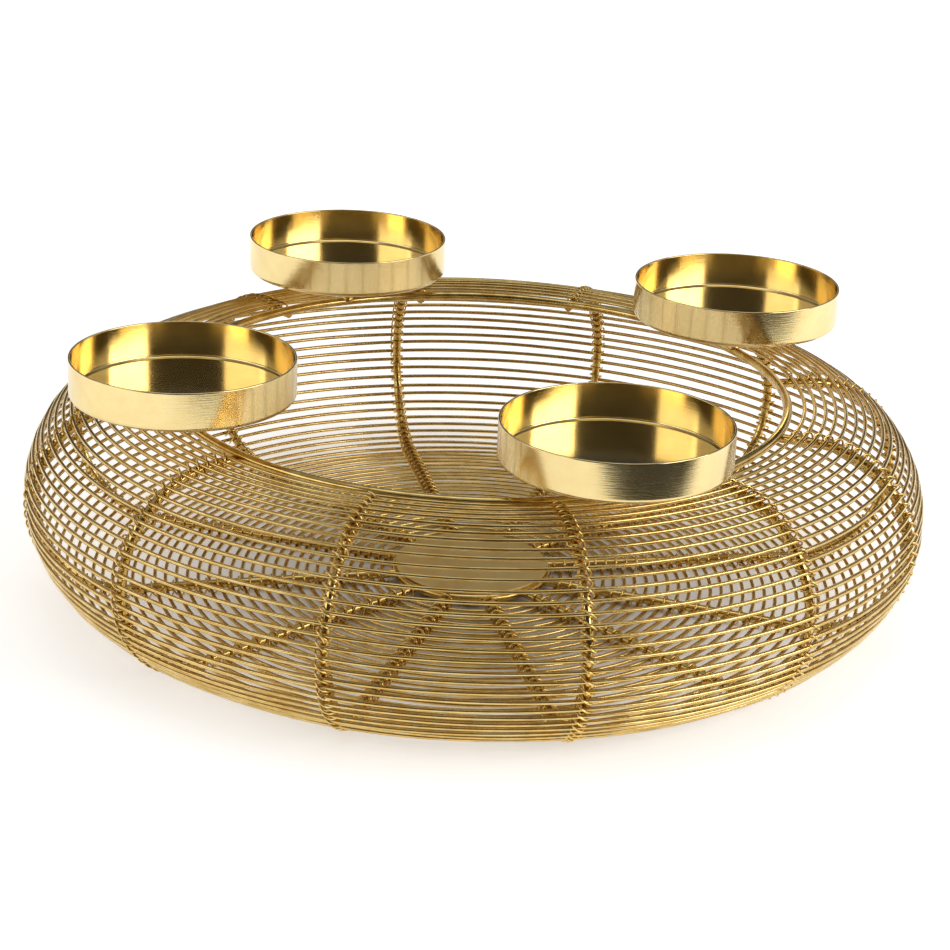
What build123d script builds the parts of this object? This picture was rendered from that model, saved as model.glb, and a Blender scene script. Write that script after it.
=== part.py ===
"""Advent candle holder: a laced wire bowl that carries four candle cups on its mouth ring.

Millimetres, +Z up. The origin is on the bowl's axis, on the surface that the bowl stands on.
A rib lies in a half plane through the axis and is drawn in the XZ plane, then turned to its place.
"""
from build123d import *
from math import cos, pi, sin, sqrt
import os

# Diameters of the rods and wires
ring_rod = 3.5
rib_rod = 3.5
hoop_wire = 1.5
lace_wire = 0.75
stem_rod = 3.0

# The bowl, measured over the hoops, and the centre lines of its two rings
body_diameter = 338.0
body_height = 79.1
mouth_diameter = 231.0
hub_diameter = 58.0
ring_lift = 1.55             # top ring above the rib ends that it is welded on
hub_lift = 0.15              # hub ring above the rib ends that butt on it

# Where the ribs stand, in degrees from +X: laid by hand, about 30 degrees apart
rib_angles = (-76.5, -46.3, -19.0, 11.5, 42.6, 71.9, 102.8, 132.6, 163.5, 194.5, 224.8, 253.8)

# The hoops along a rib: a few on the shoulder, a half circle of them on the wall, then the floor
shoulder_spaces = 2
wall_spaces = 32
floor_spaces = 23
mouth_clear = 6.2            # top ring to the first hoop, centre to centre
hub_clear = 5.5              # last hoop to the hub ring, centre to centre
seat_gap = 0.05              # between a hoop and the rib that it is laid on

# The lacing: one turn of fine wire round the rib and over each hoop
lace_gap = 0.12              # between the lacing and what it ties
lace_slack = 0.35            # how far it stands off the rib's sides
lace_pass_share = 0.45       # share of a space that the wire advances on each side of a hoop
foot_flat = 0.5              # depth of the flat worn on the turns that the bowl stands on
loops_on_upper_wall = shoulder_spaces + wall_spaces // 2
hoops_on_outer_floor = floor_spaces // 2

# The disc on the hub ring
disc_diameter = 58.6
disc_thickness = 0.8
disc_round_share = 0.3       # edge radius as a share of the thickness

# The candle cups: drawn from thin sheet, standing on short posts on the top ring
cup_diameter = 80.0
cup_height = 14.3
cup_wall = 0.8
cup_corner = 1.7             # outside radius between wall and floor
cup_lip_share = 0.4          # rim radius as a share of the wall
stem_height = 11.0           # top of the ring to the cup's underside, before each cup's own rise

# Where the cups stand, in degrees from +X, and how far each was set from its nominal place by hand
cup_angles = (-65.0, 29.8, 118.7, 209.0)
cup_shift_shares = (-0.055, -0.009, 0.012, 0.04)     # outward, as shares of the cup's diameter
cup_rise_shares = (-0.18, 0.11, 0.067, 0.011)        # upward, as shares of the stem's height

# Lines of the bowl that follow from those sizes
mouth_radius = mouth_diameter / 2
hub_radius = hub_diameter / 2
hoop_offset = rib_rod / 2 + seat_gap + hoop_wire / 2
wall_radius = body_height / 2 - hoop_offset - hoop_wire / 2
wall_centre_radius = body_diameter / 2 - hoop_wire / 2 - hoop_offset - wall_radius
lace_reach = hoop_offset + hoop_wire / 2 + lace_gap + lace_wire / 2
floor_z = lace_reach + lace_wire / 2 - foot_flat
shoulder_z = floor_z + 2 * wall_radius
ring_z = shoulder_z + ring_lift
hub_z = floor_z + hub_lift
disc_z = hub_z + ring_rod / 2
ring_top = ring_z + ring_rod / 2

# Lengths along a rib's centre line, and the spaces between hoops on each stretch
shoulder_run = wall_centre_radius - mouth_radius
wall_run = pi * wall_radius
floor_run = wall_centre_radius - hub_radius
shoulder_space = (shoulder_run - mouth_clear) / shoulder_spaces
wall_space = wall_run / wall_spaces
floor_space = (floor_run - hub_clear) / floor_spaces


def rib_at(distance):
    """Centre of the rib, this far along it from the mouth, and the way that faces out of the bowl there."""
    if distance < shoulder_run:
        return Vector(mouth_radius + distance, 0, shoulder_z), Vector(0, 0, 1)
    turned = (distance - shoulder_run) / wall_radius
    if turned < pi:
        outward = Vector(sin(turned), 0, cos(turned))
        return Vector(wall_centre_radius, 0, floor_z + wall_radius) + outward * wall_radius, outward
    past_wall = distance - shoulder_run - wall_run
    return Vector(wall_centre_radius - past_wall, 0, floor_z), Vector(0, 0, -1)


def hoop_stations():
    """Distance along the rib and local space of each hoop, from the mouth to the hub."""
    shoulder = [(shoulder_run - i * shoulder_space, shoulder_space) for i in range(shoulder_spaces, 0, -1)]
    wall = [(shoulder_run + i * wall_space, wall_space) for i in range(wall_spaces + 1)]
    floor = [(shoulder_run + wall_run + i * floor_space, floor_space) for i in range(1, floor_spaces + 1)]
    return shoulder, wall, floor


def make_hoops(stations):
    """Closed wire rings on the outside of the ribs, one at each station."""
    hoops = []
    for distance, _ in stations:
        centre, outward = rib_at(distance)
        seat = centre + outward * hoop_offset
        hoops.append(Pos(0, 0, seat.Z) * Torus(seat.X, hoop_wire / 2))
    return hoops


def make_rib(top_ring, hub_ring):
    """A C-shaped rod whose two ends are coped to fit the rings."""
    shoulder_start = Vector(mouth_radius, 0, shoulder_z)
    wall_top = Vector(wall_centre_radius, 0, shoulder_z)
    wall_middle = Vector(wall_centre_radius + wall_radius, 0, floor_z + wall_radius)
    wall_foot = Vector(wall_centre_radius, 0, floor_z)
    floor_end = Vector(hub_radius, 0, floor_z)
    path = Wire([
        Line(shoulder_start, wall_top).edge(),
        ThreePointArc(wall_top, wall_middle, wall_foot).edge(),
        Line(wall_foot, floor_end).edge(),
    ])
    rod = sweep(Plane(shoulder_start, z_dir=(1, 0, 0)) * Circle(rib_rod / 2), path=path)
    return rod - top_ring - hub_ring


def half_turn(start, start_way, end, end_way):
    """Two tangent arcs that leave start along start_way and arrive at end along end_way."""
    span = end - start
    ways = start_way + end_way
    bend = 2 * (1 - start_way.dot(end_way))
    handle = (sqrt(span.dot(ways) ** 2 + bend * span.dot(span)) - span.dot(ways)) / bend
    first_corner = start + start_way * handle
    last_corner = end - end_way * handle
    middle = (first_corner + last_corner) / 2
    return [
        TangentArc(start, middle, tangent=start_way).edge(),
        TangentArc(middle, end, tangent=last_corner - first_corner).edge(),
    ]


def lacing_path(stations):
    """Centre line of a lacing: over each hoop on the slant, then square under the rib to the next."""
    side = Vector(0, rib_rod / 2 + lace_wire / 2 + lace_slack, 0)
    under_lift = lace_slack - lace_gap
    edges = []
    last_under = None
    for distance, space in stations:
        advance = lace_pass_share * space
        over_lift = lace_reach - sqrt(side.length ** 2 + advance ** 2)
        before, before_way = rib_at(distance - advance)
        after, after_way = rib_at(distance + advance)
        rising, over = (before + before_way * lift - side for lift in (under_lift, over_lift))
        falling, under = (after + after_way * lift + side for lift in (over_lift, under_lift))
        if last_under:
            edges += half_turn(*last_under, rising, before_way)
        edges.append(Line(rising, over).edge())
        edges += half_turn(over, before_way, falling, -after_way)
        edges.append(Line(falling, under).edge())
        last_under = under, -after_way
    return edges


def least_self_gap(edges):
    """Least clear distance between turns of a lacing, measured on points along it."""
    samples = 6
    points = [edge.position_at(i / samples) for edge in edges for i in range(samples)]
    half = 3 * samples
    gaps = [(a - b).length for i, a in enumerate(points) for b in points[i + half:i + 6 * half]]
    return min(gaps) - lace_wire


def make_lacing(stations, name):
    """One unbroken wound wire, with a turn for each station."""
    edges = lacing_path(stations)
    start = edges[0].position_at(0)
    wire = sweep(Plane(start, z_dir=edges[0].tangent_at(0)) * Circle(lace_wire / 2), path=Wire(edges))
    print(f"{name}: {len(stations)} turns, least gap to itself {least_self_gap(edges):.2f} mm")
    return wire


def flat_footed(lacing):
    """The lacing with the flats that its lowest turns stand on."""
    return split(lacing, bisect_by=Plane.XY, keep=Keep.TOP)


def make_cup():
    """A shallow cup on the XY plane: rounded between wall and floor, with a rolled-off rim."""
    upright = (Align.CENTER, Align.CENTER, Align.MIN)
    blank = Cylinder(cup_diameter / 2, cup_height, align=upright)
    blank = fillet(blank.edges().group_by(Axis.Z)[0], cup_corner)
    hollow = Cylinder(cup_diameter / 2 - cup_wall, cup_height, align=upright)
    hollow = fillet(hollow.edges().group_by(Axis.Z)[0], cup_corner - cup_wall)
    cup = blank - Pos(0, 0, cup_wall) * hollow
    return fillet(cup.edges().group_by(Axis.Z)[-1], cup_wall * cup_lip_share)


def make_stem(top_ring, head_z):
    """A short post at angle zero, saddle-cut to sit on the top ring, that carries a cup at head_z."""
    upright = (Align.CENTER, Align.CENTER, Align.MIN)
    return Pos(mouth_radius, 0, ring_z) * Cylinder(stem_rod / 2, head_z - ring_z, align=upright) - top_ring


def make_disc():
    """The plain disc that covers the hub ring."""
    upright = (Align.CENTER, Align.CENTER, Align.MIN)
    disc = Pos(0, 0, disc_z) * Cylinder(disc_diameter / 2, disc_thickness, align=upright)
    return fillet(disc.edges(), disc_thickness * disc_round_share)


def build_nodes():
    """All pieces of the candle holder by name, each in its place."""
    shoulder, wall, floor = hoop_stations()
    middle = wall_spaces // 2
    top_ring = Pos(0, 0, ring_z) * Torus(mouth_radius, ring_rod / 2)
    hub_ring = Pos(0, 0, hub_z) * Torus(hub_radius, ring_rod / 2)
    rib = make_rib(top_ring, hub_ring)
    walls = shoulder + wall
    upper_lacing = make_lacing(walls[:loops_on_upper_wall], "upper wall lacing")
    lower_lacing = flat_footed(make_lacing(walls[loops_on_upper_wall:], "lower wall lacing"))
    floor_lacing = flat_footed(make_lacing(floor, "floor lacing"))
    cup = make_cup()

    nodes = {
        "top_ring": [top_ring],
        "hub_ring": [hub_ring],
        "base_disc": [make_disc()],
        "shoulder_hoops": make_hoops(shoulder),
        "upper_wall_hoops": make_hoops(wall[:middle]),
        "lower_wall_hoops": make_hoops(wall[middle:]),
        "outer_floor_hoops": make_hoops(floor[:hoops_on_outer_floor]),
        "inner_floor_hoops": make_hoops(floor[hoops_on_outer_floor:]),
    }
    for number, angle in enumerate(rib_angles, start=1):
        place = Rot(0, 0, angle)
        nodes[f"rib_{number:02d}"] = [place * rib]
        nodes[f"wall_lacing_{number:02d}"] = [place * upper_lacing, place * lower_lacing]
        nodes[f"floor_lacing_{number:02d}"] = [place * floor_lacing]
    cup_places = zip(cup_angles, cup_shift_shares, cup_rise_shares)
    for number, (angle, shift, rise) in enumerate(cup_places, start=1):
        place = Rot(0, 0, angle)
        cup_z = ring_top + stem_height * (1 + rise)
        cup_radius = mouth_radius + cup_diameter * shift
        nodes[f"candle_cup_{number}"] = [place * Pos(cup_radius, 0, cup_z) * cup]
        nodes[f"cup_stem_{number}"] = [place * make_stem(top_ring, cup_z)]
    return nodes


os.makedirs("parts", exist_ok=True)
for name, pieces in build_nodes().items():
    solids = [solid for piece in pieces for solid in piece.solids()]
    export_step(Compound(children=solids), f"parts/{name}.step")
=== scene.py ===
# %% [markdown]
# # A laced wire bowl with candle cups
#
# This advent candle holder is a low bowl of gold-plated steel. Bent rods make its ribs, thin wire hoops
# lie on the outside of the ribs, and a finer wire is wound round each rib and over each hoop to tie them
# together. Four shallow cups for pillar candles stand on short posts on the ring round the mouth. The
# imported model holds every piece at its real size, so this lesson only has to give the pieces their smooth
# wires, welds and finishes.

# %% Load the frame
import bmesh
import bpy
import random
from math import atan2, cos, hypot, pi, radians, sin
from mathutils import Matrix, Vector


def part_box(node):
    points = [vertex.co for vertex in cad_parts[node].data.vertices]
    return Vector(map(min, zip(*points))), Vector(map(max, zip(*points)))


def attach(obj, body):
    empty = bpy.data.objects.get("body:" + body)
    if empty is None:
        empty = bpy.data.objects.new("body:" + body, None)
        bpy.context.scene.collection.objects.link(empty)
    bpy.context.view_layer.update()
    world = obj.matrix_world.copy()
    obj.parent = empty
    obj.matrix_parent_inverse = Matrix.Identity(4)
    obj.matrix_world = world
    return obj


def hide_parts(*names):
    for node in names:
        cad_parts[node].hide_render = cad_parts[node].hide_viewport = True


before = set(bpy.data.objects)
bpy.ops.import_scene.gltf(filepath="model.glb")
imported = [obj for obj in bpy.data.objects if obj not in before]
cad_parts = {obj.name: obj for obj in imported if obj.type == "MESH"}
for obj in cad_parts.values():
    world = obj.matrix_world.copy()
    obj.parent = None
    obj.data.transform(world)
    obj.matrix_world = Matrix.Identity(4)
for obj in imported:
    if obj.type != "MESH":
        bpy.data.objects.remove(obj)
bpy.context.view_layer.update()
print("nodes in the frame:", len(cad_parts))

# %% [markdown]
# ## Sizes
#
# Blender works in metres and wire work is thought of in millimetres, so one constant turns the one into
# the other. The big sizes are read from the frame's own boxes, and the gauges, gaps and counts of the wire
# work, which no box shows, are repeated from the drawing.

# %% Sizes from the frame
MM = 0.001


def across(node):
    """Width, middle height and full height of a node's box."""
    low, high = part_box(node)
    return high[0] - low[0], (low[2] + high[2]) / 2, high[2] - low[2]


ring_width, ring_z, ring_rod = across("top_ring")
hub_width, hub_z, hub_rod = across("hub_ring")
disc_width, disc_z, disc_thickness = across("base_disc")
body_width = across("lower_wall_hoops")[0]
hoop_wire = across("shoulder_hoops")[2]
mouth_radius = (ring_width - ring_rod) / 2
hub_radius = (hub_width - hub_rod) / 2

rib_rod = 3.5 * MM
seat_gap = 0.05 * MM
ring_lift = 1.55 * MM
hub_lift = 0.15 * MM

shoulder_z = ring_z - ring_lift
floor_z = hub_z - hub_lift
wall_radius = (shoulder_z - floor_z) / 2
hoop_offset = rib_rod / 2 + seat_gap + hoop_wire / 2
wall_centre_radius = (body_width - hoop_wire) / 2 - hoop_offset - wall_radius
print(f"bowl {body_width / MM:.0f} mm wide, mouth bent to {mouth_radius / MM:.1f} mm")

# %% [markdown]
# ## The line of a rib
#
# A rib runs in from the wall to the mouth ring at the top, turns through a half circle to make the wall,
# and runs in again under the floor to the hub. Everything that touches a rib is placed by how far along it
# lies, so one function that turns this distance into a place does the work of many coordinates.

# %% A point along a rib
shoulder_run = wall_centre_radius - mouth_radius
wall_run = pi * wall_radius
floor_run = wall_centre_radius - hub_radius


def rib_at(distance):
    """Radius and height of a rib's centre this far from the mouth, and its outward direction there."""
    if distance < shoulder_run:
        return mouth_radius + distance, shoulder_z, 0.0, 1.0
    turned = (distance - shoulder_run) / wall_radius
    if turned < pi:
        out_r, out_z = sin(turned), cos(turned)
        height = floor_z + wall_radius * (1 + out_z)
        return wall_centre_radius + out_r * wall_radius, height, out_r, out_z
    return wall_centre_radius - (distance - shoulder_run - wall_run), floor_z, 0.0, -1.0


print(f"a rib is {(shoulder_run + wall_run + floor_run) / MM:.0f} mm long")

# %% [markdown]
# ## Where the hoops cross
#
# The hoops cross each rib at even spaces: a few on the shoulder, most on the wall and the rest under the
# floor. A station is such a crossing, given as its distance along the rib and the space that it takes up.

# %% Stations along a rib
mouth_clear = 6.2 * MM
hub_clear = 5.5 * MM
shoulder_spaces, wall_spaces, floor_spaces = 2, 32, 23

shoulder_space = (shoulder_run - mouth_clear) / shoulder_spaces
wall_space = wall_run / wall_spaces
floor_space = (floor_run - hub_clear) / floor_spaces
wall_end = shoulder_run + wall_run
shoulder_stations = [
    (shoulder_run - i * shoulder_space, shoulder_space) for i in range(shoulder_spaces, 0, -1)
]
wall_stations = [(shoulder_run + i * wall_space, wall_space) for i in range(wall_spaces + 1)]
floor_stations = [(wall_end + i * floor_space, floor_space) for i in range(1, floor_spaces + 1)]
all_stations = shoulder_stations + wall_stations + floor_stations
print("hoops:", len(all_stations))

# %% [markdown]
# ## The camera
#
# The photograph was taken from a little above, with a long lens and a slight tilt to one side. The camera
# stands where the outlines of the bowl, the mouth and the cups all fall where the photograph has them. Its
# matrix is a place, a pitch and a roll, multiplied in that order.

# %% Camera
CAMERA_DISTANCE = 893.7 * MM
CAMERA_HEIGHT = 388.96 * MM
CAMERA_PITCH = radians(21.2)
CAMERA_ROLL = radians(2.35)
FOCAL_PIXELS = 2520.5
PHOTO_PIXELS = 950
SENSOR_WIDTH = 36.0


def add_object(name, data):
    """An object with this data, linked into the scene."""
    thing = bpy.data.objects.new(name, data)
    bpy.context.scene.collection.objects.link(thing)
    return thing


camera_data = bpy.data.cameras.new("camera")
camera_data.sensor_width = SENSOR_WIDTH
camera_data.lens = FOCAL_PIXELS / PHOTO_PIXELS * SENSOR_WIDTH
camera = add_object("camera", camera_data)
camera.matrix_world = (
    Matrix.Translation((0, -CAMERA_DISTANCE, CAMERA_HEIGHT))
    @ Matrix.Rotation(pi / 2 - CAMERA_PITCH, 4, "X")
    @ Matrix.Rotation(CAMERA_ROLL, 4, "Z")
)
bpy.context.scene.camera = camera
print(f"lens {camera_data.lens:.1f} mm")

# %% [markdown]
# ## Building a finish from nodes
#
# Each finish is a small graph of nodes. One helper adds a node, sets its values and links its inputs, so
# that a finish reads as a short list. Colours are written as the hex values seen on a screen, and one
# function turns them to the linear values that the renderer counts in.


# %% Node helpers
def linear(hex_colour):
    """A screen colour such as c9a45c as linear red, green, blue and full alpha."""
    channels = [int(hex_colour[i:i + 2], 16) / 255 for i in (0, 2, 4)]
    return tuple(c / 12.92 if c <= 0.04045 else ((c + 0.055) / 1.055) ** 2.4 for c in channels) + (1.0,)


def add_node(tree, kind, values=None, links=None, **settings):
    """Adds a node, sets its properties and input values, and links inputs to other nodes' outputs."""
    node = tree.nodes.new(kind)
    for name, value in settings.items():
        setattr(node, name, value)
    for socket, value in (values or {}).items():
        node.inputs[socket].default_value = value
    for socket, output in (links or {}).items():
        tree.links.new(output, node.inputs[socket])
    return node


def new_material(name):
    """An empty node material and its tree."""
    material = bpy.data.materials.new(name)
    material.use_nodes = True
    material.node_tree.nodes.clear()
    return material, material.node_tree


# %% [markdown]
# ## Gold plating
#
# Every piece is steel under a thin gold-coloured plating. Plating takes on the metal's own colour, so the
# shader is a full metal with a warm base. What the eye reads as plating is that it isn't even: it is
# browner and more satin in some patches and brighter in others. So one pattern drives both colour and
# roughness, and a second one, the height, gives a fine relief.


# %% The plated surface
def plate(tree, patches, shades, shares, roughness, height, depth):
    """Ends a tree as plated metal: dull and bright shades by patches, with a relief of this depth."""
    colours = add_node(tree, "ShaderNodeValToRGB", links={"Fac": patches})
    for stop, share, shade in zip(colours.color_ramp.elements, shares, shades):
        stop.position = share
        stop.color = linear(shade)
    satin = add_node(tree, "ShaderNodeMapRange", {"To Min": roughness[0], "To Max": roughness[1]},
                     {"Value": patches})
    relief = add_node(tree, "ShaderNodeBump", {"Strength": 1.0, "Distance": depth}, {"Height": height})
    shader = add_node(tree, "ShaderNodeBsdfPrincipled", {"Metallic": 1.0},
                      {"Base Color": colours.outputs["Color"], "Roughness": satin.outputs["Result"],
                       "Normal": relief.outputs["Normal"]})
    add_node(tree, "ShaderNodeOutputMaterial", links={"Surface": shader.outputs["BSDF"]})


# %% [markdown]
# ## Plating on wire, rod and flat sheet
#
# The hoops, rods and lacing are drawn steel, which is a little satin, with patches a few millimetres long.
# The lacing is the brightest of them. That is partly its own yellower gold and partly painted light: its
# shades are lightened to stand in for the highlights its small turns catch. The plate on the hub is flat
# sheet that was never polished, so it is much rougher and shows no clear reflections. A noise of the
# patches' size serves them all.

# %% Gold-plated wire, rod and sheet
PATCH_SHARES = (0.35, 0.62)
DULL_ROUGHER_SHARE = 1.25
BRIGHT_ROUGHER_SHARE = 0.8


def gold_plating(name, dull, bright, roughness, patch, depth):
    """Satin gold plating with patches of the given size, between a dull and a bright shade."""
    material, tree = new_material(name)
    place = add_node(tree, "ShaderNodeTexCoord")
    noise = add_node(tree, "ShaderNodeTexNoise", {"Scale": 1 / patch, "Detail": 3.0, "Roughness": 0.6},
                     {"Vector": place.outputs["Object"]})
    patches = noise.outputs["Fac"]
    rougher = (roughness * DULL_ROUGHER_SHARE, roughness * BRIGHT_ROUGHER_SHARE)
    plate(tree, patches, (dull, bright), PATCH_SHARES, rougher, patches, depth)
    return material


hoop_gold = gold_plating("satin gold plating on hoop wire", dull="ccaa62", bright="e2c684",
                         roughness=0.2, patch=9 * MM, depth=0.006 * MM)
rod_gold = gold_plating("satin gold plating on bent rod", dull="bf9a50", bright="dec27c",
                        roughness=0.18, patch=8 * MM, depth=0.04 * MM)
# The lacing's shades are lighter than the other wire's: partly its own colour, partly painted highlight.
lace_gold_painted_lighter = gold_plating("gold plating on lacing wire, painted lighter for highlights", dull="cfa956", bright="f0d488",
                         roughness=0.18, patch=3 * MM, depth=0.02 * MM)
sheet_gold = gold_plating("satin gold plating on flat sheet", dull="dfc07c", bright="ecd292",
                          roughness=0.5, patch=14 * MM, depth=0.02 * MM)
print("platings:", [finish.name for finish in (hoop_gold, rod_gold, lace_gold_painted_lighter, sheet_gold)])

# %% [markdown]
# ## Polished cups
#
# The cups are drawn from sheet and polished on a lathe, so very fine lines run round the floor and the
# wall, and they stretch the reflections. The lines follow the angle about the cup's own axis, the distance
# from it and the height, which a Mapping node counts from the cup's centre. Noise that is drawn out along
# the angle makes the lines. Real ones are finer than a pixel, so these are drawn coarser, to show.

# %% Polished cup finish
CUP_RADIUS = 40 * MM
LINE_HEIGHT = 0.3 * MM
LINE_LENGTH = 10 * MM
LINE_DEPTH = 0.012 * MM
SMEAR = 12 * MM
SMEAR_SHARES = (0.3, 0.7)
CUP_SHADES = ("e2c98c", "ecd79e")
CUP_ROUGHNESS = (0.1, 0.18)


def polished_cup(name, centre):
    """Polished gold plating with lathe lines about a vertical axis through centre."""
    material, tree = new_material(name)
    place = add_node(tree, "ShaderNodeTexCoord")
    local = add_node(tree, "ShaderNodeMapping", {"Location": (-centre[0], -centre[1], 0)},
                     {"Vector": place.outputs["Object"]})
    flat = add_node(tree, "ShaderNodeVectorMath", {1: (1, 1, 0)}, {0: local.outputs["Vector"]},
                    operation="MULTIPLY")
    radius = add_node(tree, "ShaderNodeVectorMath", links={0: flat.outputs["Vector"]},
                      operation="LENGTH")
    parts = add_node(tree, "ShaderNodeSeparateXYZ", links={"Vector": local.outputs["Vector"]})
    angle = add_node(tree, "ShaderNodeMath", links={0: parts.outputs["Y"], 1: parts.outputs["X"]},
                     operation="ARCTAN2")
    round_cup = add_node(tree, "ShaderNodeMath", {1: CUP_RADIUS * LINE_HEIGHT / LINE_LENGTH},
                         {0: angle.outputs["Value"]}, operation="MULTIPLY")
    turning = add_node(tree, "ShaderNodeCombineXYZ", links={
        "X": radius.outputs["Value"], "Y": parts.outputs["Z"], "Z": round_cup.outputs["Value"]})
    lines = add_node(tree, "ShaderNodeTexNoise", {"Scale": 1 / LINE_HEIGHT, "Detail": 2.0},
                     {"Vector": turning.outputs["Vector"]})
    smears = add_node(tree, "ShaderNodeTexNoise", {"Scale": 1 / SMEAR, "Detail": 4.0, "Roughness": 0.65},
                      {"Vector": local.outputs["Vector"]})
    plate(tree, smears.outputs["Fac"], CUP_SHADES, SMEAR_SHARES, CUP_ROUGHNESS, lines.outputs["Fac"],
          LINE_DEPTH)
    return material


# %% [markdown]
# ## Turning a bmesh into a piece
#
# Every piece ends the same way: doubles merged, normals pointing out, smooth shading with crisp corners
# kept sharp, a material, the body it rides on and the nodes that it stands for.

# %% Finish a piece
MERGE = 0.001 * MM
SHARP_DEGREES = 50


def finish_piece(bm, name, material, nodes, sharp_degrees=SHARP_DEGREES):
    """Makes an object of the bmesh, dressed and tied to the frame."""
    bmesh.ops.remove_doubles(bm, verts=bm.verts, dist=MERGE)
    bmesh.ops.recalc_face_normals(bm, faces=bm.faces)
    mesh = bpy.data.meshes.new(name)
    bm.to_mesh(mesh)
    bm.free()
    mesh.polygons.foreach_set("use_smooth", [True] * len(mesh.polygons))
    mesh.set_sharp_from_angle(angle=radians(sharp_degrees))
    mesh.materials.append(material)
    piece = add_object(name, mesh)
    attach(piece, "root")
    if nodes:
        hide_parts(*nodes)
    return piece


# %% [markdown]
# ## Hoops
#
# A ring of wire is a small circle spun once round the bowl's axis. A torus from the menu would do for one,
# but the spin gives rings of any size in one mesh. Hoops closed and tied by hand are never quite true, so
# each one gets a slow wander of a tenth or two of a millimetre: a few waves round the ring, each with its
# own phase.

# %% A ring of wire
HOOP_SIDES = 8
RING_STEPS = 144
WANDER_WAVES = (2, 3, 5, 9)
hand = random.Random(12)


def add_ring(bm, radius, height, wire, sides):
    """Adds a closed ring of round wire about the Z axis and returns its new vertices."""
    for vert in bm.verts:
        vert.tag = True
    upright = Matrix.Translation((radius, 0, height)) @ Matrix.Rotation(pi / 2, 4, "X")
    section = bmesh.ops.create_circle(bm, segments=sides, radius=wire / 2, matrix=upright)["verts"]
    edges = list({edge for vert in section for edge in vert.link_edges})
    bmesh.ops.spin(bm, geom=section + edges, cent=(0, 0, 0), axis=(0, 0, 1), angle=2 * pi,
                   steps=RING_STEPS, use_merge=True)
    return [vert for vert in bm.verts if not vert.tag]


def wander(verts, amount):
    """Bends a ring slowly out of true, in and out and up and down."""
    waves = [(count, hand.uniform(0, 2 * pi), hand.uniform(0, 2 * pi)) for count in WANDER_WAVES]
    share = amount / len(waves) ** 0.5
    for vert in verts:
        angle = atan2(vert.co.y, vert.co.x)
        out = share * sum(sin(count * angle + phase) for count, phase, _ in waves)
        up = share * sum(sin(count * angle + phase) for count, _, phase in waves)
        vert.co += Vector((cos(angle) * out, sin(angle) * out, up))


# %% Hoop wires
HOOP_WANDER = 0.18 * MM


def hoop_place(distance):
    """Radius and height of the hoop tied to a rib this far from the mouth."""
    radius, height, out_r, out_z = rib_at(distance)
    return radius + out_r * hoop_offset, height + out_z * hoop_offset


hoop_groups = {
    "shoulder_hoops": shoulder_stations,
    "upper_wall_hoops": wall_stations[:wall_spaces // 2],
    "lower_wall_hoops": wall_stations[wall_spaces // 2:],
    "outer_floor_hoops": floor_stations[:floor_spaces // 2],
    "inner_floor_hoops": floor_stations[floor_spaces // 2:],
}
for node, stations in hoop_groups.items():
    hoops = bmesh.new()
    for distance, _ in stations:
        radius, height = hoop_place(distance)
        wander(add_ring(hoops, radius, height, hoop_wire, HOOP_SIDES), HOOP_WANDER)
    piece = finish_piece(hoops, node.replace("hoops", "hoop_wires"), hoop_gold, [node])
    print(piece.name, len(piece.data.polygons), "faces")

# %% [markdown]
# ## Top ring and hub ring
#
# The two rings that the ribs end on are thicker rod, rolled on a machine. They are spun in the same way as
# the hoops, with more sides, because they are seen close, and half the wander, because they are stiffer.

# %% Top ring and hub ring
ROD_SIDES = 16
RING_WANDER = HOOP_WANDER / 2
rings = (
    ("top_ring", mouth_radius, ring_z, ring_rod),
    ("hub_ring", hub_radius, hub_z, hub_rod),
)
for node, radius, height, rod in rings:
    ring = bmesh.new()
    wander(add_ring(ring, radius, height, rod, ROD_SIDES), RING_WANDER)
    piece = finish_piece(ring, node.replace("ring", "ring_rod"), rod_gold, [node])
    print(piece.name, len(piece.data.polygons), "faces")

# %% [markdown]
# ## Ribs
#
# A rib is one circle pulled along its line: extruded straight over the shoulder, spun through a half
# circle for the wall, and extruded again under the floor. A bevelled curve would do too, but these three
# operators are just how the rod is bent. Its ends stop at the middle of the two rings it is welded to.

# %% Ribs
RIB_SIDES = 14
RIB_STEPS = 48
rib_angles = (-76.5, -46.3, -19.0, 11.5, 42.6, 71.9, 102.8, 132.6, 163.5, 194.5, 224.8, 253.8)


def only_verts(items):
    """The vertices among the mixed results of an operator."""
    return [item for item in items if isinstance(item, bmesh.types.BMVert)]


def loop_edges(bm, verts):
    """The edges that join these vertices."""
    chosen = set(verts)
    return [edge for edge in bm.edges if chosen.issuperset(edge.verts)]


def pull(bm, verts, way):
    """Extrudes a loop of vertices along a straight run and returns the new loop."""
    moved = only_verts(bmesh.ops.extrude_edge_only(bm, edges=loop_edges(bm, verts))["geom"])
    bmesh.ops.translate(bm, verts=moved, vec=way)
    return moved


def make_rib(number, angle):
    """One bent rod, drawn in the XZ plane and turned to its place."""
    bm = bmesh.new()
    facing = Matrix.Translation((mouth_radius, 0, shoulder_z)) @ Matrix.Rotation(pi / 2, 4, "Y")
    start = bmesh.ops.create_circle(bm, segments=RIB_SIDES, radius=rib_rod / 2, matrix=facing)["verts"]
    over_shoulder = pull(bm, start, (shoulder_run, 0, 0))
    middle = (wall_centre_radius, 0, floor_z + wall_radius)
    spun = bmesh.ops.spin(bm, geom=over_shoulder + loop_edges(bm, over_shoulder), cent=middle,
                          axis=(0, 1, 0), angle=pi, steps=RIB_STEPS)
    pull(bm, only_verts(spun["geom_last"]), (-floor_run, 0, 0))
    bmesh.ops.holes_fill(bm, edges=bm.edges, sides=RIB_SIDES)
    bmesh.ops.rotate(bm, verts=bm.verts, cent=(0, 0, 0), matrix=Matrix.Rotation(radians(angle), 3, "Z"))
    return finish_piece(bm, f"bent_rib_{number:02d}", rod_gold, [f"rib_{number:02d}"])


for number, angle in enumerate(rib_angles, start=1):
    piece = make_rib(number, angle)
print("ribs:", len(rib_angles), "with", len(piece.data.polygons), "faces each")

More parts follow.
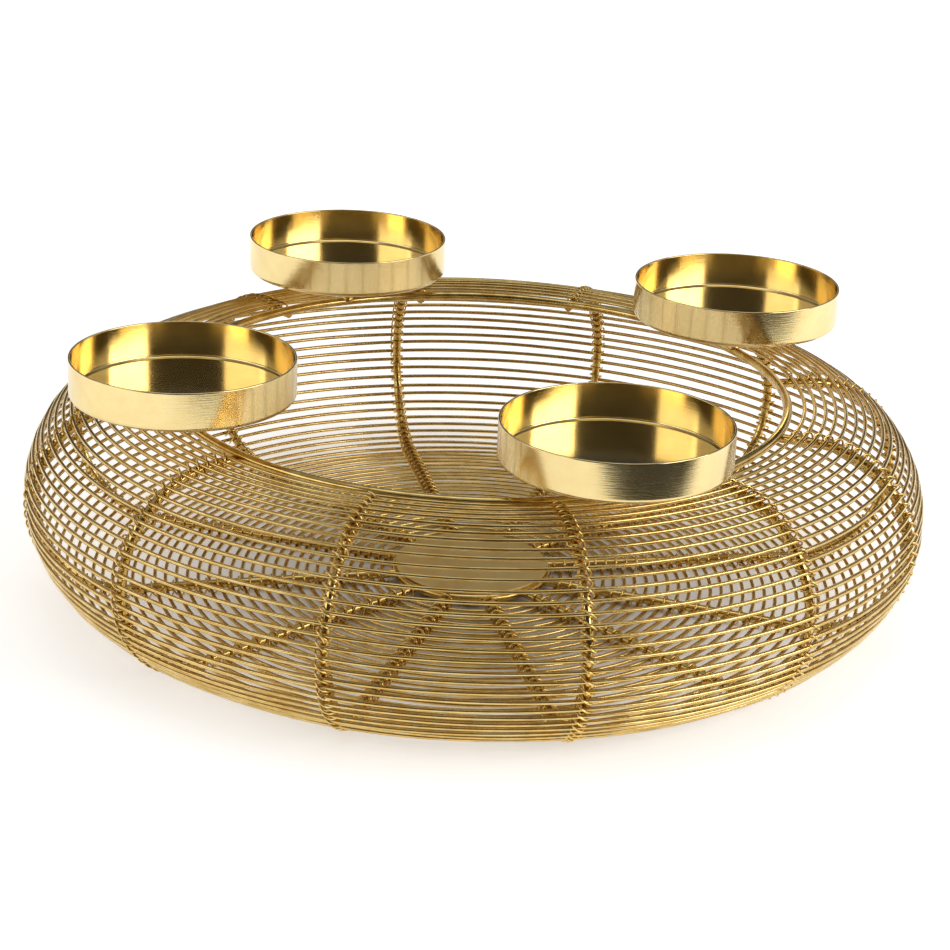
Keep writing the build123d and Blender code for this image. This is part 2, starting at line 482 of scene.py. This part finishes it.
# %% [markdown]
# ## The path of the lacing
#
# A fine wire ties the hoops to each rib. It climbs over a hoop on the slant, dives between two hoops,
# passes square under the rib and comes up again for the next. So one turn has two halves: over the hoop it
# advances, and under the rib it goes on to where the next turn starts. The formula of one turn is repeated
# for every hoop, with a little of the unevenness of hand work.

# %% Points of the lacing
LACE_POINTS = 16
LACE_UNEVEN = 0.1 * MM
lace_wire = 0.75 * MM
lace_gap = 0.12 * MM
lace_slack = 0.35 * MM
lace_pass_share = 0.45
lace_reach = hoop_offset + hoop_wire / 2 + lace_gap + lace_wire / 2
lace_side = rib_rod / 2 + lace_wire / 2 + lace_slack
under_lift = lace_slack - lace_gap


def lacing_points():
    """Distance along the rib, sideways place and outward place of the lacing's points, mouth to hub."""
    points = []
    for i, (distance, space) in enumerate(all_stations):
        advance = lace_pass_share * space
        reach = hypot(lace_side, advance)
        over_lift = lace_reach - reach
        next_start = distance + space - advance
        if i + 1 < len(all_stations):
            next_distance, next_space = all_stations[i + 1]
            next_start = next_distance - lace_pass_share * next_space
        middle = (distance + advance + next_start) / 2
        under = (next_start - distance - advance) / 2
        loose = 1 + hand.uniform(0, LACE_UNEVEN) / lace_side
        for step in range(LACE_POINTS):
            turn = -pi / 2 + 2 * pi * step / LACE_POINTS
            side = lace_side * sin(turn) * loose
            if turn <= pi / 2:
                points.append((distance + advance * sin(turn), side, over_lift + reach * cos(turn)))
            else:
                points.append((middle - under * sin(turn), side, under_lift + lace_side * cos(turn)))
    return points


print(f"lacing stands {(lace_reach + lace_wire / 2) / MM:.2f} mm off a rib's centre")

# %% [markdown]
# ## Lacing wires
#
# A curve with a round bevel makes such a long thin wire well: it only needs the points. The curve is then
# made a mesh, and where the bowl stands on its lacing, the wire is pressed flat at table height.

# %% Lacing wires
LACE_SHARP_DEGREES = 80


def wound_wire(name, places):
    """A mesh of round wire through these places."""
    curve = bpy.data.curves.new(name, "CURVE")
    curve.dimensions = "3D"
    curve.bevel_depth = lace_wire / 2
    curve.bevel_resolution = 1
    curve.use_fill_caps = True
    spline = curve.splines.new("POLY")
    spline.points.add(len(places) - 1)
    for point, place in zip(spline.points, places):
        point.co = (*place, 1.0)
    drawn = add_object(name, curve)
    mesh = bpy.data.meshes.new_from_object(drawn.evaluated_get(bpy.context.evaluated_depsgraph_get()))
    bpy.data.objects.remove(drawn)
    return mesh


def make_lacing(number, angle):
    """The wire wound along one rib."""
    turned = Matrix.Rotation(radians(angle), 3, "Z")
    places = []
    for distance, side, out in lacing_points():
        radius, height, out_r, out_z = rib_at(distance)
        places.append(turned @ Vector((radius + out_r * out, side, height + out_z * out)))
    mesh = wound_wire(f"lacing_curve_{number:02d}", places)
    wound = bmesh.new()
    wound.from_mesh(mesh)
    bpy.data.meshes.remove(mesh)
    for vert in wound.verts:
        vert.co.z = max(vert.co.z, 0.0)
    nodes = [f"wall_lacing_{number:02d}", f"floor_lacing_{number:02d}"]
    return finish_piece(wound, f"lacing_{number:02d}", lace_gold_painted_lighter, nodes,
                        LACE_SHARP_DEGREES)


for number, angle in enumerate(rib_angles, start=1):
    piece = make_lacing(number, angle)
print("lacings:", len(rib_angles), "with", len(piece.data.polygons), "faces each")

# %% [markdown]
# ## Candle cups
#
# A cup is a flat profile spun round its own axis: bottom, wall, rim, inner wall and floor. Bevels then
# round the drawn corner between wall and floor and roll off the rim, as the press and the polishing wheel
# do. The profile has a spare point just beyond each bevel. It keeps the smooth shading of the bend from
# spreading over the flat floor and wall, which would bend the reflections there.

# %% Candle cups
CUP_STEPS = 128
CUP_SHARP_DEGREES = 60
CORNER_SEGMENTS, INSIDE_SEGMENTS, LIP_SEGMENTS = 8, 6, 3
CUP_COUNT = 4
NEAR = 0.01 * MM
cup_wall = 0.8 * MM
cup_corner = 1.7 * MM
cup_lip_share = 0.4
cup_spare = 0.15 * MM


def circle_edges(bm, radius, height):
    """The edges of the circle about the Z axis with this radius and height."""
    def on_circle(vert):
        return abs(hypot(vert.co.x, vert.co.y) - radius) < NEAR and abs(vert.co.z - height) < NEAR
    return [edge for edge in bm.edges if all(on_circle(vert) for vert in edge.verts)]


def make_cup(number):
    """One drawn cup in its place on its post."""
    low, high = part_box(f"candle_cup_{number}")
    centre = Vector(((low[0] + high[0]) / 2, (low[1] + high[1]) / 2, low[2]))
    height = high[2] - low[2]
    outer, inner = CUP_RADIUS, CUP_RADIUS - cup_wall
    lip = cup_wall * cup_lip_share
    from_corner, from_lip = cup_corner + cup_spare, lip + cup_spare
    outline = [
        (0, 0), (outer - from_corner, 0), (outer, 0), (outer, from_corner), (outer, height - from_lip),
        (outer, height), (inner, height), (inner, height - from_lip), (inner, from_corner),
        (inner, cup_wall), (outer - from_corner, cup_wall), (0, cup_wall),
    ]
    bm = bmesh.new()
    verts = [bm.verts.new((radius, 0, up)) for radius, up in outline]
    edges = [bm.edges.new(pair) for pair in zip(verts, verts[1:])]
    bmesh.ops.spin(bm, geom=verts + edges, cent=(0, 0, 0), axis=(0, 0, 1), angle=2 * pi,
                   steps=CUP_STEPS, use_merge=True)
    bmesh.ops.remove_doubles(bm, verts=bm.verts, dist=MERGE)
    rounds = (
        (outer, 0, cup_corner, CORNER_SEGMENTS),
        (inner, cup_wall, cup_corner - cup_wall, INSIDE_SEGMENTS),
        (outer, height, lip, LIP_SEGMENTS),
        (inner, height, lip, LIP_SEGMENTS),
    )
    for radius, up, offset, segments in rounds:
        bmesh.ops.bevel(bm, geom=circle_edges(bm, radius, up), offset=offset, offset_type="OFFSET",
                        segments=segments, profile=0.5, affect="EDGES", material=-1)
    bmesh.ops.translate(bm, verts=bm.verts, vec=centre)
    finish = polished_cup(f"polished gold plating on cup {number}", centre)
    return finish_piece(bm, f"drawn_cup_{number}", finish, [f"candle_cup_{number}"],
                        CUP_SHARP_DEGREES)


for number in range(1, CUP_COUNT + 1):
    piece = make_cup(number)
print("cups:", CUP_COUNT, "with", len(piece.data.polygons), "faces each")

# %% [markdown]
# ## Posts under the cups
#
# Each cup stands on a short post that is welded to the ring and to the cup. A cylinder would look as if it
# only touched them. So the post is a circle pulled up in four steps and scaled at each: a wide foot on the
# ring, a slope in to the rod, the rod itself, and a slope out again under the cup, like weld fillets.

# %% Posts under the cups
POST_SIDES = 20
stem_rod = 3.0 * MM
weld_spread = 0.9 * MM


def make_post(number):
    """A short post with a weld fillet at the ring and under the cup."""
    low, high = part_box(f"cup_stem_{number}")
    middle = Vector(((low[0] + high[0]) / 2, (low[1] + high[1]) / 2, 0))
    narrow, wide = stem_rod / 2, stem_rod / 2 + weld_spread
    plain = high[2] - ring_z - ring_rod / 2 - 2 * weld_spread
    steps = ((ring_rod / 2, wide), (weld_spread, narrow), (plain, narrow), (weld_spread, wide))
    bm = bmesh.new()
    foot = Matrix.Translation(middle + Vector((0, 0, ring_z)))
    loop = bmesh.ops.create_circle(bm, segments=POST_SIDES, radius=wide, matrix=foot)["verts"]
    width = wide
    for rise, new_width in steps:
        loop = pull(bm, loop, (0, 0, rise))
        scale = new_width / width
        bmesh.ops.scale(bm, verts=loop, vec=(scale, scale, 1), space=Matrix.Translation(-middle))
        width = new_width
    bmesh.ops.holes_fill(bm, edges=bm.edges, sides=POST_SIDES)
    return finish_piece(bm, f"cup_post_{number}", rod_gold, [f"cup_stem_{number}"])


for number in range(1, CUP_COUNT + 1):
    piece = make_post(number)
print("posts:", CUP_COUNT, "with", len(piece.data.polygons), "faces each")

# %% [markdown]
# ## Base disc
#
# A plain plate closes the hub. It is a filled circle, extruded by its thickness, with softened edges. An
# inset ring inside each flat face does what the spare points do on the cups: the shading stays flat.

# %% Base disc
DISC_STEPS = 96
DISC_EDGE_SEGMENTS = 3
QUAD_SIDES = 4
disc_edge_share = 0.3
disc_spare = 0.2 * MM
disc = bmesh.new()
bmesh.ops.create_circle(disc, cap_ends=True, segments=DISC_STEPS, radius=disc_width / 2,
                        matrix=Matrix.Translation((0, 0, disc_z - disc_thickness / 2)))
grown = bmesh.ops.extrude_face_region(disc, geom=disc.faces[:])["geom"]
bmesh.ops.translate(disc, verts=only_verts(grown), vec=(0, 0, disc_thickness))
rim_edges = [edge for edge in disc.edges if abs(edge.verts[0].co.z - edge.verts[1].co.z) < NEAR]
bmesh.ops.bevel(disc, geom=rim_edges, offset=disc_thickness * disc_edge_share, offset_type="OFFSET",
                segments=DISC_EDGE_SEGMENTS, profile=0.5, affect="EDGES", material=-1)
flat_faces = [face for face in disc.faces if len(face.verts) > QUAD_SIDES]
bmesh.ops.inset_region(disc, faces=flat_faces, thickness=disc_spare)
piece = finish_piece(disc, "hub_plate", sheet_gold, ["base_disc"])
print(piece.name, len(piece.data.polygons), "faces")

# %% [markdown]
# ## Ring weld
#
# The top ring is a length of rod closed by a butt weld at the front. A squashed sphere, a little thicker
# than the rod, makes the ground-down bead.

# %% Ring weld
WELD_ANGLE = radians(-84)
WELD_AROUND, WELD_ALONG = 16, 10
weld_swell_share = 1.06
weld_length_share = 0.8
ring_weld = bmesh.new()
place = Matrix.Translation((mouth_radius * cos(WELD_ANGLE), mouth_radius * sin(WELD_ANGLE), ring_z))
along_ring = Matrix.Rotation(WELD_ANGLE, 4, "Z") @ Matrix.Diagonal((1, weld_length_share, 1, 1))
bmesh.ops.create_uvsphere(ring_weld, u_segments=WELD_AROUND, v_segments=WELD_ALONG,
                          radius=ring_rod / 2 * weld_swell_share, matrix=place @ along_ring)
piece = finish_piece(ring_weld, "ring_weld", rod_gold, [])
print(piece.name, len(piece.data.polygons), "faces")

# %% [markdown]
# ## Table
#
# The bowl stands on a white table that fills the picture. Polished metal shows whatever is round it, so the
# table and the room matter as much as the finish. The table ends in front of the picture, on a slant, and
# the dark behind its edge shows in the front of the cups. It is cut from a grid with one bisecting plane.

# %% Table top
TABLE_SIZE = 1.8
TABLE_MIDDLE = 1.2
TABLE_FRONT = -0.385
TABLE_FRONT_SLOPE = 0.6
table = bmesh.new()
bmesh.ops.create_grid(table, x_segments=1, y_segments=1, size=TABLE_SIZE,
                      matrix=Matrix.Translation((0, TABLE_MIDDLE, 0)))
bmesh.ops.bisect_plane(table, geom=table.verts[:] + table.edges[:] + table.faces[:],
                       plane_co=(0, TABLE_FRONT, 0), plane_no=(TABLE_FRONT_SLOPE, -1, 0), clear_outer=True)
table_mesh = bpy.data.meshes.new("table_top")
table.to_mesh(table_mesh)
table.free()
table_top = add_object("table_top", table_mesh)
print("table corners:", len(table_mesh.vertices))

# %% [markdown]
# ## White table card
#
# A matt white card would be grey in the corners, because no lamp lights it evenly. So the card also glows,
# but only to the camera and in reflections, so that it isn't one more lamp. The glow starts from nothing
# under the bowl, where the shadow lies, and rises in two steps with the distance from the axis.

# %% White table card
SHADOW_RADIUS = 0.04
WHITE_RADIUS = 0.185
FAR_RADIUS = 0.8
NEAR_GLOW, FAR_GLOW = 0.6, 0.4


def seen_directly(tree):
    """An output that is 1 for the camera and in reflections and clear glass, and 0 for other light."""
    ray = add_node(tree, "ShaderNodeLightPath")
    mirrored = add_node(tree, "ShaderNodeMath", operation="MAXIMUM", links={
        0: ray.outputs["Is Glossy Ray"], 1: ray.outputs["Is Transmission Ray"]})
    seen = add_node(tree, "ShaderNodeMath", operation="MAXIMUM", links={
        0: ray.outputs["Is Camera Ray"], 1: mirrored.outputs["Value"]})
    return seen.outputs["Value"]


table_white, tree = new_material("white table card")
place = add_node(tree, "ShaderNodeTexCoord")
from_axis = add_node(tree, "ShaderNodeVectorMath", links={0: place.outputs["Object"]}, operation="LENGTH")
near_glow = add_node(tree, "ShaderNodeMapRange",
                     {"From Min": SHADOW_RADIUS, "From Max": WHITE_RADIUS, "To Max": NEAR_GLOW},
                     {"Value": from_axis.outputs["Value"]}, interpolation_type="SMOOTHSTEP")
far_glow = add_node(tree, "ShaderNodeMapRange",
                    {"From Min": WHITE_RADIUS, "From Max": FAR_RADIUS, "To Max": FAR_GLOW},
                    {"Value": from_axis.outputs["Value"]}, interpolation_type="SMOOTHSTEP")
both_glows = add_node(tree, "ShaderNodeMath", operation="ADD", links={
    0: near_glow.outputs["Result"], 1: far_glow.outputs["Result"]})
matt = add_node(tree, "ShaderNodeBsdfDiffuse", {"Color": linear("f2f0ec")})
glow = add_node(tree, "ShaderNodeEmission", links={"Strength": both_glows.outputs["Value"]})
lit = add_node(tree, "ShaderNodeAddShader", links={0: matt.outputs["BSDF"], 1: glow.outputs["Emission"]})
card = add_node(tree, "ShaderNodeMixShader", links={
    0: seen_directly(tree), 1: matt.outputs["BSDF"], 2: lit.outputs["Shader"]})
add_node(tree, "ShaderNodeOutputMaterial", links={"Surface": card.outputs["Shader"]})
table_mesh.materials.append(table_white)
print("table card of", len(tree.nodes), "nodes")

# %% [markdown]
# ## Room
#
# The studio is dark with a pale ceiling, which leans back a little, and a low white backdrop behind the
# bowl. The dark gives the deep parts of the cups. The backdrop shows in the wires at the two sides, which
# run away from the camera and mirror what is behind the bowl. The world's Generated coordinates are the
# direction of a ray, so its Z is how high the ray looks, and its Y how far back.

# %% Dark studio with a pale ceiling and a backdrop
CEILING_LEAN = 0.15
CEILING_EDGE, CEILING_FULL = 0.55, 0.8
ROOM_LIGHT, CEILING_LIGHT = 0.06, 0.45
BACKDROP_EDGE, BACKDROP_FULL = 0.26, 0.16
BEHIND_EDGE, BEHIND_FULL = -0.2, 0.1
world = bpy.data.worlds.new("studio")
bpy.context.scene.world = world
world.use_nodes = True
tree = world.node_tree
tree.nodes.clear()
place = add_node(tree, "ShaderNodeTexCoord")
way = add_node(tree, "ShaderNodeSeparateXYZ", links={"Vector": place.outputs["Generated"]})
rise = add_node(tree, "ShaderNodeMath", {1: CEILING_LEAN}, {0: way.outputs["Y"], 2: way.outputs["Z"]},
                operation="MULTIPLY_ADD")
ceiling = add_node(tree, "ShaderNodeMapRange",
                   {"From Min": CEILING_EDGE, "From Max": CEILING_FULL,
                    "To Min": ROOM_LIGHT, "To Max": CEILING_LIGHT},
                   {"Value": rise.outputs["Value"]}, interpolation_type="SMOOTHSTEP")
behind = add_node(tree, "ShaderNodeMapRange", {"From Min": BEHIND_EDGE, "From Max": BEHIND_FULL},
                  {"Value": way.outputs["Y"]}, interpolation_type="SMOOTHSTEP")
backdrop = add_node(tree, "ShaderNodeMapRange", {"From Min": BACKDROP_EDGE, "From Max": BACKDROP_FULL},
                    {"Value": way.outputs["Z"], "To Max": behind.outputs["Result"]},
                    interpolation_type="SMOOTHSTEP")
seen_backdrop = add_node(tree, "ShaderNodeMath", operation="MULTIPLY", links={
    0: seen_directly(tree), 1: backdrop.outputs["Result"]})
level = add_node(tree, "ShaderNodeMath", operation="MAXIMUM", links={
    0: ceiling.outputs["Result"], 1: seen_backdrop.outputs["Value"]})
room = add_node(tree, "ShaderNodeBackground", links={"Strength": level.outputs["Value"]})
add_node(tree, "ShaderNodeOutputWorld", links={"Surface": room.outputs["Background"]})
print("room of", len(tree.nodes), "nodes")

# %% [markdown]
# ## Lamps
#
# Two softboxes beside the camera give the bright columns in the cups, the right one the stronger. Two dim
# cards further round fill the outer parts of the cups and the sides of the bowl, and a softbox overhead
# lights the floor. Each lamp's energy comes from its area, so that its brightness means the same for all.

# %% Lamps
LAMP_DISTANCE = 1.2
LAMP_WIDTH, LAMP_HEIGHT = 1.0, 0.5
LAMP_AIM = Vector((0, 0, 0.1))


def softbox(name, turn, rise, brightness):
    """An area lamp that faces the bowl, this many degrees round from the camera and up."""
    data = bpy.data.lights.new(name, "AREA")
    data.shape = "RECTANGLE"
    data.size, data.size_y = LAMP_WIDTH, LAMP_HEIGHT
    data.energy = brightness * pi * LAMP_WIDTH * LAMP_HEIGHT
    round_bowl, up = radians(turn), radians(rise)
    away = Vector((sin(round_bowl) * cos(up), -cos(round_bowl) * cos(up), sin(up)))
    place = Matrix.Translation(LAMP_AIM + away * LAMP_DISTANCE)
    lamp = add_object(name, data)
    lamp.matrix_world = place @ away.to_track_quat("Z", "Y").to_matrix().to_4x4()
    print(name, f"{data.energy:.1f} W")


softbox("left softbox", turn=-64, rise=21, brightness=1.85)
softbox("right softbox", turn=64, rise=21, brightness=5.0)
softbox("left card", turn=-105, rise=15, brightness=0.6)
softbox("right card", turn=105, rise=15, brightness=0.6)
softbox("overhead softbox", turn=0, rise=90, brightness=1.05)
bpy.context.scene.view_settings.view_transform = "Standard"
